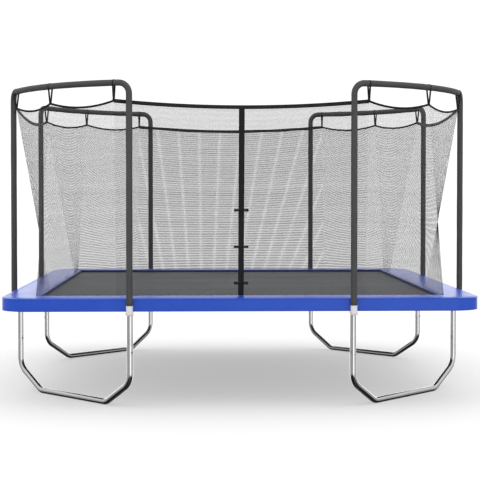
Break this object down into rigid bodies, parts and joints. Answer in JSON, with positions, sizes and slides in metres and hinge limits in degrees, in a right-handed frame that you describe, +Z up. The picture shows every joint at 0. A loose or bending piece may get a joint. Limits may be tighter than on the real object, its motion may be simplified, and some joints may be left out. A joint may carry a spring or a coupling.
{
  "type": "trampoline",
  "caption": "Square garden trampoline on bent tube legs, with a sprung mat under a padded edge and a zipped safety net hung from corner hoops.",
  "frame": {"origin": "on the ground under the middle of the mat", "axes": "+Z up; -Y towards the door side, which is the front; +X to the right seen from the front"},
  "size_m": [4.0532, 4.0532, 2.672],
  "materials": {
    "galvanised_steel": "polished",
    "zinc_hardware": "satin",
    "spring_steel": "satin",
    "grey_sleeve": "matte",
    "white_cap": "gloss",
    "black_mat": "matte",
    "blue_pvc": "gloss",
    "net_mesh": "matte",
    "black_webbing": "matte",
    "black_plastic": "satin"
  },
  "bodies": {
    "frame": {"frame_corner_front_left": "galvanised_steel", "leg_base_front_left": "galvanised_steel", "hoop_arch_front_left": "galvanised_steel", "hoop_sleeve_front_left": "grey_sleeve", "leg_bolt_front_left_1": "zinc_hardware", "hoop_pole_front_left_1": "galvanised_steel", "pole_cap_front_left_1": "white_cap", "leg_bolt_front_left_2": "zinc_hardware", "hoop_pole_front_left_2": "galvanised_steel", "pole_cap_front_left_2": "white_cap", "frame_corner_front_right": "galvanised_steel", "leg_base_front_right": "galvanised_steel", "hoop_arch_front_right": "galvanised_steel", "hoop_sleeve_front_right": "grey_sleeve", "leg_bolt_front_right_1": "zinc_hardware", "hoop_pole_front_right_1": "galvanised_steel", "pole_cap_front_right_1": "white_cap", "leg_bolt_front_right_2": "zinc_hardware", "hoop_pole_front_right_2": "galvanised_steel", "pole_cap_front_right_2": "white_cap", "frame_corner_back_right": "galvanised_steel", "leg_base_back_right": "galvanised_steel", "hoop_arch_back_right": "galvanised_steel", "hoop_sleeve_back_right": "grey_sleeve", "leg_bolt_back_right_1": "zinc_hardware", "hoop_pole_back_right_1": "galvanised_steel", "pole_cap_back_right_1": "white_cap", "leg_bolt_back_right_2": "zinc_hardware", "hoop_pole_back_right_2": "galvanised_steel", "pole_cap_back_right_2": "white_cap", "frame_corner_back_left": "galvanised_steel", "leg_base_back_left": "galvanised_steel", "hoop_arch_back_left": "galvanised_steel", "hoop_sleeve_back_left": "grey_sleeve", "leg_bolt_back_left_1": "zinc_hardware", "hoop_pole_back_left_1": "galvanised_steel", "pole_cap_back_left_1": "white_cap", "leg_bolt_back_left_2": "zinc_hardware", "hoop_pole_back_left_2": "galvanised_steel", "pole_cap_back_left_2": "white_cap", "frame_side_left": "galvanised_steel", "spring_row_left": "spring_steel", "frame_side_front": "galvanised_steel", "spring_row_front": "spring_steel", "frame_side_right": "galvanised_steel", "spring_row_right": "spring_steel", "frame_side_back": "galvanised_steel", "spring_row_back": "spring_steel", "safety_pad": "blue_pvc", "net": "net_mesh", "net_top_rope": "black_webbing", "door_flap": "black_webbing", "buckle_top_female": "black_plastic", "buckle_middle_female": "black_plastic", "buckle_bottom_female": "black_plastic"},
    "mat": {"jump_mat": "black_mat"},
    "zip": {"zip_slider": "black_plastic"},
    "buckle_top": {"buckle_top_male": "black_plastic"},
    "buckle_middle": {"buckle_middle_male": "black_plastic"},
    "buckle_bottom": {"buckle_bottom_male": "black_plastic"}
  },
  "joints": [
    {"name": "mat_bounce", "type": "slide", "parent": "frame", "child": "mat", "axis": [0, 0, 1], "range_m": [-0.4, 0], "stiffness_N_per_m": 6000, "springref_m": 0.03, "deforming": ["spring_row_left", "spring_row_front", "spring_row_right", "spring_row_back"]},
    {"name": "zip_slide", "type": "slide", "parent": "frame", "child": "zip", "axis": [0, -0.1623, 0.9867], "range_m": [0, 1.44]},
    {"name": "buckle_top_release", "type": "slide", "parent": "frame", "child": "buckle_top", "axis": [1, 0, 0], "range_m": [0, 0.03]},
    {"name": "buckle_middle_release", "type": "slide", "parent": "frame", "child": "buckle_middle", "axis": [1, 0, 0], "range_m": [0, 0.03]},
    {"name": "buckle_bottom_release", "type": "slide", "parent": "frame", "child": "buckle_bottom", "axis": [1, 0, 0], "range_m": [0, 0.03]}
  ]
}
